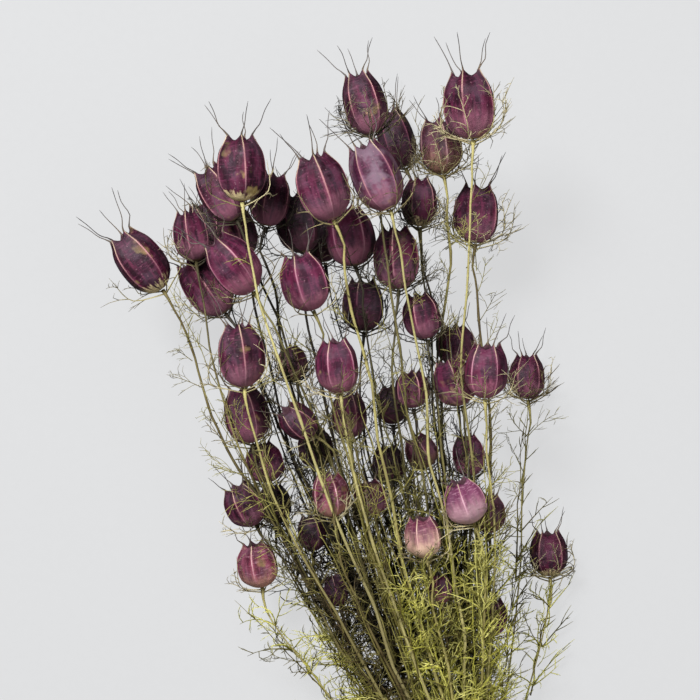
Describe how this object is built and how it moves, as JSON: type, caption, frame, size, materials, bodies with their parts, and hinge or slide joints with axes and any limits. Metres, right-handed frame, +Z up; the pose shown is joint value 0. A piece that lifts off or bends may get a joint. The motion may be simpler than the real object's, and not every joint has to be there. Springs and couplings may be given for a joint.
{
  "type": "bunch of dried nigella seed pods",
  "caption": "Tied bunch of dried nigella stems with horned, ribbed purple seed pods, lying on its side for display.",
  "frame": {"origin": "on the surface the bunch lies on, under the middle of the tie", "axes": "+Z up from the surface, +Y along the stems from the tie towards the pods, +X to the right seen from above"},
  "size_m": [0.2028, 0.4338, 0.0957],
  "materials": {
    "dried_pod": "papery dried skin, plum to magenta, with pale ribs",
    "dried_stem": "dry matt olive-yellow stems and thread leaves",
    "raffia": "matt natural raffia strand"
  },
  "bodies": {
    "root": {"pod_01": "dried_pod", "pod_02": "dried_pod", "pod_03": "dried_pod", "pod_04": "dried_pod", "pod_05": "dried_pod", "pod_06": "dried_pod", "pod_07": "dried_pod", "pod_08": "dried_pod", "pod_09": "dried_pod", "pod_10": "dried_pod", "pod_11": "dried_pod", "pod_12": "dried_pod", "pod_13": "dried_pod", "pod_14": "dried_pod", "pod_15": "dried_pod", "pod_16": "dried_pod", "pod_17": "dried_pod", "pod_18": "dried_pod", "pod_19": "dried_pod", "pod_20": "dried_pod", "pod_21": "dried_pod", "pod_22": "dried_pod", "pod_23": "dried_pod", "pod_24": "dried_pod", "pod_25": "dried_pod", "pod_26": "dried_pod", "pod_27": "dried_pod", "pod_28": "dried_pod", "pod_29": "dried_pod", "pod_30": "dried_pod", "pod_31": "dried_pod", "pod_32": "dried_pod", "pod_33": "dried_pod", "pod_34": "dried_pod", "pod_35": "dried_pod", "pod_36": "dried_pod", "pod_37": "dried_pod", "pod_38": "dried_pod", "pod_39": "dried_pod", "pod_40": "dried_pod", "pod_41": "dried_pod", "pod_42": "dried_pod", "pod_43": "dried_pod", "pod_44": "dried_pod", "pod_45": "dried_pod", "pod_46": "dried_pod", "pod_47": "dried_pod", "pod_48": "dried_pod", "pod_49": "dried_pod", "pod_50": "dried_pod", "pod_51": "dried_pod", "pod_52": "dried_pod", "pod_53": "dried_pod", "pod_54": "dried_pod", "stems_and_leaves_1": "dried_stem", "stems_and_leaves_2": "dried_stem", "stems_and_leaves_3": "dried_stem", "stems_and_leaves_4": "dried_stem", "stems_and_leaves_5": "dried_stem", "raffia_tie": "raffia"}
  },
  "joints": []
}
